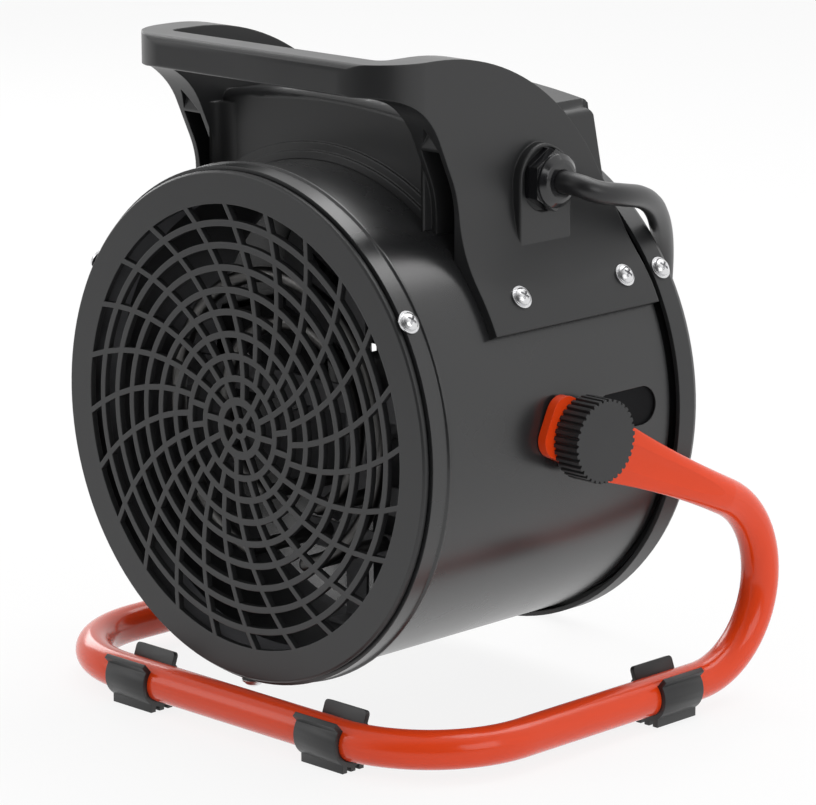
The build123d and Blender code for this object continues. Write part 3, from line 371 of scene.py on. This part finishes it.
# ---------------------------------------------------------------- clips under the stand's tube
# The middles of the front clips are given in x, and of the side clips in y from the pivot line.
FOOT_SCALE = 0.85
FOOT_RIGHT = 0.0605
FOOT_LEFT = -0.0537
FOOT_FLANK = 0.0432
TAB_TIP = 0.0015
TAB_CUT = 0.0032
TAB_ROUND = 0.0018
TAB_STEPS = 4
TAB_LEAN = radians(20)
FOOT_EDGE = 0.0004
FLAT_ANGLE = radians(1)
ACROSS = 1e-5


def islands(bm):
    """Groups of vertices that hang together, in the mesh's own order."""
    left = dict.fromkeys(bm.verts)
    groups = []
    while left:
        group = [next(iter(left))]
        del left[group[0]]
        for vert in group:
            for edge in vert.link_edges:
                other = edge.other_vert(vert)
                if other in left:
                    del left[other]
                    group.append(other)
        groups.append(group)
    return groups


def foot_place(middle):
    """Axis along the tube, new middle on it and direction to the stand's inside, for one clip."""
    side = 1 if middle.x > 0 else -1
    if middle.y < PIVOT.y:
        return 0, FOOT_RIGHT if side > 0 else FOOT_LEFT, Vector((0, 1, 0))
    return 1, FOOT_FLANK + PIVOT.y, Vector((-side, 0, 0))


def clip_shells():
    """Clipped feet, a little shorter, with low rounded tabs, moved along the tube to their places."""
    bm = copied("stand_clips")
    bmesh.ops.dissolve_limit(bm, angle_limit=FLAT_ANGLE, verts=bm.verts[:], edges=bm.edges[:])
    corners = []
    for group in islands(bm):
        middle = sum((vert.co for vert in group), Vector()) / len(group)
        run, place, inward = foot_place(middle)
        top = max(vert.co.z for vert in group)
        ends = [vert.co[run] for vert in group]
        old = (min(ends) + max(ends)) / 2
        tip = [vert for vert in group if vert.co.z > top - TAB_TIP]
        for vert in group:
            vert.co[run] = place + (vert.co[run] - old) * FOOT_SCALE
        lean = inward * sin(TAB_LEAN) + Vector((0, 0, cos(TAB_LEAN)))
        for vert in tip:
            vert.co -= lean * TAB_CUT
        for vert in tip:
            corners += [edge for edge in vert.link_edges if edge.other_vert(vert) in tip
                        and abs(edge.verts[0].co[run] - edge.verts[1].co[run]) < ACROSS]
    bmesh.ops.bevel(bm, geom=list(dict.fromkeys(corners)), offset=TAB_ROUND, segments=TAB_STEPS,
                    profile=0.5, affect="EDGES")
    piece = add_mesh("clip_shells", bm, "stand", "clip_black")
    soften(piece, FOOT_EDGE).modifiers["edge"].harden_normals = True
    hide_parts("stand_clips")
    return piece


feet = clip_shells()


# ---------------------------------------------------------------- dial scales on the control panel
SCALE_RADIUS = 0.0185
SCALE_TICK = (0.0006, 0.0003, 0.0026)
SCALE_LONG = (0.0009, 0.0003, 0.0040)
SCALE_COUNT = 9
SCALE_SPAN = radians(240)


def dial_scale(name, dial):
    """Printed ticks round a dial, the end ones longer."""
    low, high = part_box(dial)
    centre_x = (low.x + high.x) / 2
    centre_z = (low.z + high.z) / 2
    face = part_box("control_panel")[1].y
    bm = bmesh.new()
    for index in range(SCALE_COUNT):
        angle = (index / (SCALE_COUNT - 1) - 0.5) * SCALE_SPAN
        size = SCALE_LONG if index in (0, SCALE_COUNT - 1) else SCALE_TICK
        turn = Matrix.Rotation(angle, 4, "Y")
        place = Matrix.Translation((centre_x, face, centre_z)) @ turn
        add_block(bm, size, place @ Matrix.Translation((0, 0, SCALE_RADIUS + size[2] / 2)))
    return add_mesh(name, bm, "heater", "block_white", smooth=False)


scales = [dial_scale("power_scale", "power_dial"), dial_scale("thermostat_scale", "thermostat_dial")]


# ---------------------------------------------------------------- tie round the coil
TIE_WIDTH = 0.012
TIE_THICKNESS = 0.0012
TIE_STEPS = 10


def coil_tie():
    """Flat strap round the bundle of turns, seen end-on as a rounded oblong."""
    across = Vector((sin(COIL_HEADING), -cos(COIL_HEADING), 0))
    ahead = Vector((cos(COIL_HEADING), sin(COIL_HEADING), 0))
    radius = CORD_DIAMETER / 2
    centre = Vector((*COIL_CENTRE, 0)) + shift
    inside = COIL_RADIUS - COIL_PITCH * COIL_HALF_TURNS / 2
    bm = bmesh.new()
    outline = []
    ends = ((COIL_RADIUS, 1), (inside, -1))
    for reach, side in ends:
        for step in range(TIE_STEPS + 1):
            angle = (step / TIE_STEPS - 0.5) * pi
            outline.append((reach, side, angle if side > 0 else -angle))
    rings = []
    for grow in (0, TIE_THICKNESS):
        for edge in (-0.5, 0.5):
            ring = []
            for reach, side, angle in outline:
                flat = side * cos(angle) * (radius + grow)
                height = radius + COIL_PITCH / 2 + sin(angle) * (radius + COIL_PITCH / 2 + grow)
                height = max(height, TIE_THICKNESS - grow)
                spot = centre + across * (reach + flat) + ahead * edge * TIE_WIDTH
                ring.append(bm.verts.new((spot.x, spot.y, height)))
            rings.append(ring)
    inner_near, inner_far, outer_near, outer_far = rings
    count = len(outline)
    for one, two in ((inner_near, inner_far), (outer_far, outer_near),
                     (inner_near, outer_near), (outer_far, inner_far)):
        for index in range(count):
            after = (index + 1) % count
            bm.faces.new((one[index], one[after], two[after], two[index]))
    return add_mesh("coil_tie", bm, "heater", "switch_black")


tie = coil_tie()


# ---------------------------------------------------------------- materials
COAT_ROUGHNESS = 0.12
NOISE_LOW = 0.3
NOISE_HIGH = 0.7
GRAIN_STRENGTH = 0.5


def shader(name, colour, roughness, metallic=0.0, coat=0.0, specular=0.5):
    """Principled material with the values that are the same all over."""
    material = bpy.data.materials.new(name)
    material.use_nodes = True
    tree = material.node_tree
    surface = tree.nodes["Principled BSDF"]
    surface.inputs["Base Color"].default_value = (*colour, 1)
    surface.inputs["Roughness"].default_value = roughness
    surface.inputs["Metallic"].default_value = metallic
    surface.inputs["Coat Weight"].default_value = coat
    surface.inputs["Coat Roughness"].default_value = COAT_ROUGHNESS
    surface.inputs["Specular IOR Level"].default_value = specular
    return material, tree, surface


def add_node(tree, kind, **settings):
    """New node with these settings."""
    node = tree.nodes.new(kind)
    for key, value in settings.items():
        setattr(node, key, value)
    return node


def place_in_frame(tree, stretch=(1, 1, 1)):
    """Object coordinates, stretched for grain that runs one way."""
    source = add_node(tree, "ShaderNodeTexCoord")
    mapping = add_node(tree, "ShaderNodeMapping")
    mapping.inputs["Scale"].default_value = stretch
    tree.links.new(source.outputs["Object"], mapping.inputs["Vector"])
    return mapping.outputs["Vector"]


def noise(tree, vector, scale, detail, roughness):
    """Value of a noise texture along a vector."""
    node = add_node(tree, "ShaderNodeTexNoise")
    node.inputs["Scale"].default_value = scale
    node.inputs["Detail"].default_value = detail
    node.inputs["Roughness"].default_value = roughness
    tree.links.new(vector, node.inputs["Vector"])
    return node.outputs["Fac"]


def ranged(tree, value, low, high):
    """Noise spread over a range."""
    node = add_node(tree, "ShaderNodeMapRange")
    node.inputs["From Min"].default_value = NOISE_LOW
    node.inputs["From Max"].default_value = NOISE_HIGH
    node.inputs["To Min"].default_value = low
    node.inputs["To Max"].default_value = high
    tree.links.new(value, node.inputs["Value"])
    return node.outputs["Result"]


def tinted(tree, value, colour, spread):
    """Colour that varies a little with value."""
    node = add_node(tree, "ShaderNodeMix", data_type="RGBA")
    low = [max(part * (1 - spread), 0) for part in colour]
    high = [min(part * (1 + spread), 1) for part in colour]
    node.inputs["A"].default_value = (*low, 1)
    node.inputs["B"].default_value = (*high, 1)
    tree.links.new(value, node.inputs["Factor"])
    return node.outputs["Result"]


def bumped(tree, surface, height, depth, edge):
    """Fine relief over softly rounded edges."""
    bevel = add_node(tree, "ShaderNodeBevel", samples=4)
    bevel.inputs["Radius"].default_value = edge
    bump = add_node(tree, "ShaderNodeBump")
    bump.inputs["Strength"].default_value = GRAIN_STRENGTH
    bump.inputs["Distance"].default_value = depth
    tree.links.new(height, bump.inputs["Height"])
    tree.links.new(bevel.outputs["Normal"], bump.inputs["Normal"])
    tree.links.new(bump.outputs["Normal"], surface.inputs["Normal"])


def moulded(name, colour, roughness, grain=1400.0, depth=0.00006, spread=0.06, edge=0.0004,
            coat=0.0, metallic=0.0, stretch=(1, 1, 1), specular=0.5, patch=14.0, vary=0.05):
    """Surface with fine grain, a faint change of tone and a changing roughness."""
    material, tree, surface = shader(name, colour, roughness, metallic, coat, specular)
    vector = place_in_frame(tree, stretch)
    fine = noise(tree, vector, grain, 3.0, 0.55)
    broad = noise(tree, vector, patch, 4.0, 0.6)
    tree.links.new(tinted(tree, broad, colour, spread), surface.inputs["Base Color"])
    tree.links.new(ranged(tree, broad, roughness - vary, roughness + vary), surface.inputs["Roughness"])
    bumped(tree, surface, fine, depth, edge)
    return material


MATERIALS = {
    "drum_paint": moulded("drum_paint", (0.0150, 0.0153, 0.0160), 0.27, grain=1100,
                          depth=0.00001, vary=0.03, specular=0.65),
    "grille_black": moulded("grille_black", (0.0190, 0.0194, 0.0202), 0.40, grain=1500,
                            depth=0.00003, edge=0.0006),
    "housing_black": moulded("housing_black", (0.0155, 0.0158, 0.0165), 0.34, grain=1500,
                             depth=0.00003, edge=0.0008),
    "knob_black": moulded("knob_black", (0.017, 0.017, 0.018), 0.5, grain=1800),
    "stand_red": moulded("stand_red", (0.76, 0.055, 0.007), 0.22, grain=500, depth=0.00002,
                         spread=0.03, coat=0.3, vary=0.03, specular=0.25),
    "clip_black": moulded("clip_black", (0.0150, 0.0153, 0.0160), 0.42, grain=1600),
    "zinc": moulded("zinc", (0.72, 0.72, 0.73), 0.28, grain=2500, metallic=1, edge=0.0003, vary=0.08),
    "gland_black": moulded("gland_black", (0.008, 0.008, 0.009), 0.14, grain=900,
                           depth=0.00001, edge=0.0006, specular=0.7, vary=0.03),
    "cord_rubber": moulded("cord_rubber", (0.012, 0.012, 0.013), 0.36, grain=900, depth=0.00004),
    "liner_steel": moulded("liner_steel", (0.09, 0.09, 0.095), 0.5, grain=600, metallic=1,
                           stretch=(1, 0.1, 1)),
    "element_steel": moulded("element_steel", (0.15, 0.147, 0.144), 0.34, grain=900, metallic=1,
                             spread=0.2, patch=60),
    "mica_grey": moulded("mica_grey", (0.11, 0.11, 0.115), 0.5, grain=900),
    "fan_grey": moulded("fan_grey", (0.10, 0.10, 0.105), 0.35, grain=700),
    "motor_steel": moulded("motor_steel", (0.014, 0.014, 0.015), 0.6, grain=900, metallic=1),
    "block_white": moulded("block_white", (0.66, 0.65, 0.62), 0.5, grain=1500),
    "switch_black": moulded("switch_black", (0.02, 0.02, 0.021), 0.6, grain=1800),
    "brass": moulded("brass", (0.60, 0.52, 0.34), 0.25, grain=1200, metallic=1),
}
for part in frame["record"]["subparts"]:
    node = NODES[part["node"]]
    node.data.materials.clear()
    node.data.materials.append(MATERIALS[part["material_slot"]])
for piece in [supply_cord, tie, handle, feet, *scales]:
    piece.data.materials.clear()
    piece.data.materials.append(MATERIALS[piece["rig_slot"]])

# ---------------------------------------------------------------- floor and light
# Lamps: name, place, aim, size and power. DARK_SKY and DARK_FLOOR: direction, start and full depth.
FLOOR_SIZE = 8.0
FLOOR_DROP = 0.0002
FLOOR_COLOUR = (0.92, 0.92, 0.92)
LIGHTS = [
    ("overhead", (0.0, 0.7, 1.6), (0, 0, 0.15), 1.3, 16.0),
    ("front_left", (-1.2, -1.4, 0.9), (0, 0, 0.12), 1.0, 4.5),
    ("left_rear", (-1.6, 0.5, 0.8), (0, 0, 0.15), 0.7, 6.0),
    ("right", (1.7, -0.2, 0.7), (0, 0, 0.12), 0.9, 6.0),
]
WORLD_STRENGTH = 0.55
FLOOR_GLOW = 0.86
DARK_DEPTH = 0.95
DARK_SKY = ((0.70, -0.68, 0.20), 0.42, 0.90)
DARK_FLOOR = ((0.35, -0.94, 0.0), 0.30, 0.95)


def seen_rays(tree, camera_share):
    """Share of white for camera rays, and 1 for glossy and transmission rays."""
    path = add_node(tree, "ShaderNodeLightPath")
    scaled = add_node(tree, "ShaderNodeMath", operation="MULTIPLY")
    scaled.inputs[1].default_value = camera_share
    tree.links.new(path.outputs["Is Camera Ray"], scaled.inputs[0])
    total = scaled.outputs[0]
    for name in ("Is Glossy Ray", "Is Transmission Ray"):
        either = add_node(tree, "ShaderNodeMath", operation="MAXIMUM")
        tree.links.new(total, either.inputs[0])
        tree.links.new(path.outputs[name], either.inputs[1])
        total = either.outputs[0]
    return total


def dimmed(tree, coordinate, aim, start, full):
    """Strength of the studio in reflections, dim on one fixed side of the object."""
    source = add_node(tree, "ShaderNodeTexCoord")
    along = add_node(tree, "ShaderNodeVectorMath", operation="DOT_PRODUCT")
    along.inputs[1].default_value = Vector(aim).normalized()
    patch = add_node(tree, "ShaderNodeMapRange", interpolation_type="SMOOTHSTEP")
    patch.inputs["From Min"].default_value = start
    patch.inputs["From Max"].default_value = full
    patch.inputs["To Max"].default_value = DARK_DEPTH
    path = add_node(tree, "ShaderNodeLightPath")
    held = add_node(tree, "ShaderNodeMath", operation="MULTIPLY")
    rest = add_node(tree, "ShaderNodeMath", operation="SUBTRACT")
    rest.inputs[0].default_value = 1
    tree.links.new(source.outputs[coordinate], along.inputs[0])
    tree.links.new(along.outputs["Value"], patch.inputs["Value"])
    tree.links.new(patch.outputs["Result"], held.inputs[0])
    tree.links.new(path.outputs["Is Glossy Ray"], held.inputs[1])
    tree.links.new(held.outputs[0], rest.inputs[1])
    return rest.outputs[0]


def floor_material():
    """Pale floor that shows white to the camera and keeps a faint shadow."""
    material, tree, surface = shader("floor_white", FLOOR_COLOUR, 0.7)
    glow = add_node(tree, "ShaderNodeEmission")
    glow.inputs["Color"].default_value = (1, 1, 1, 1)
    mix = add_node(tree, "ShaderNodeMixShader")
    output = tree.nodes["Material Output"]
    tree.links.new(dimmed(tree, "Object", *DARK_FLOOR), glow.inputs["Strength"])
    tree.links.new(seen_rays(tree, FLOOR_GLOW), mix.inputs[0])
    tree.links.new(surface.outputs[0], mix.inputs[1])
    tree.links.new(glow.outputs[0], mix.inputs[2])
    tree.links.new(mix.outputs[0], output.inputs["Surface"])
    return material


def add_floor():
    """Wide floor with the pale floor material."""
    bm = bmesh.new()
    bmesh.ops.create_grid(bm, x_segments=1, y_segments=1, size=FLOOR_SIZE)
    data = bpy.data.meshes.new("floor")
    bm.to_mesh(data)
    bm.free()
    floor = bpy.data.objects.new("floor", data)
    floor.location.z = -FLOOR_DROP
    COLLECTION.objects.link(floor)
    floor.data.materials.append(floor_material())


def add_world():
    """White to the camera and in reflections, softer as a light."""
    world = bpy.data.worlds.new("studio")
    world.use_nodes = True
    tree = world.node_tree
    plain = tree.nodes["Background"]
    plain.inputs["Color"].default_value = (1, 1, 1, 1)
    plain.inputs["Strength"].default_value = WORLD_STRENGTH
    white = add_node(tree, "ShaderNodeBackground")
    white.inputs["Color"].default_value = (1, 1, 1, 1)
    mix = add_node(tree, "ShaderNodeMixShader")
    tree.links.new(dimmed(tree, "Generated", *DARK_SKY), white.inputs["Strength"])
    tree.links.new(seen_rays(tree, 1.0), mix.inputs[0])
    tree.links.new(plain.outputs[0], mix.inputs[1])
    tree.links.new(white.outputs[0], mix.inputs[2])
    tree.links.new(mix.outputs[0], tree.nodes["World Output"].inputs["Surface"])
    bpy.context.scene.world = world


def add_lights():
    """Square soft lamps, each aimed at the heater."""
    for name, place, target, size, power in LIGHTS:
        data = bpy.data.lights.new(name, "AREA")
        data.size = size
        data.energy = power
        lamp = bpy.data.objects.new(name, data)
        lamp.location = place
        way = Vector(target) - Vector(place)
        lamp.rotation_euler = way.to_track_quat("-Z", "Y").to_euler()
        COLLECTION.objects.link(lamp)


add_floor()
add_world()
add_lights()
bpy.context.scene.view_settings.view_transform = "Standard"

bpy.context.view_layer.update()
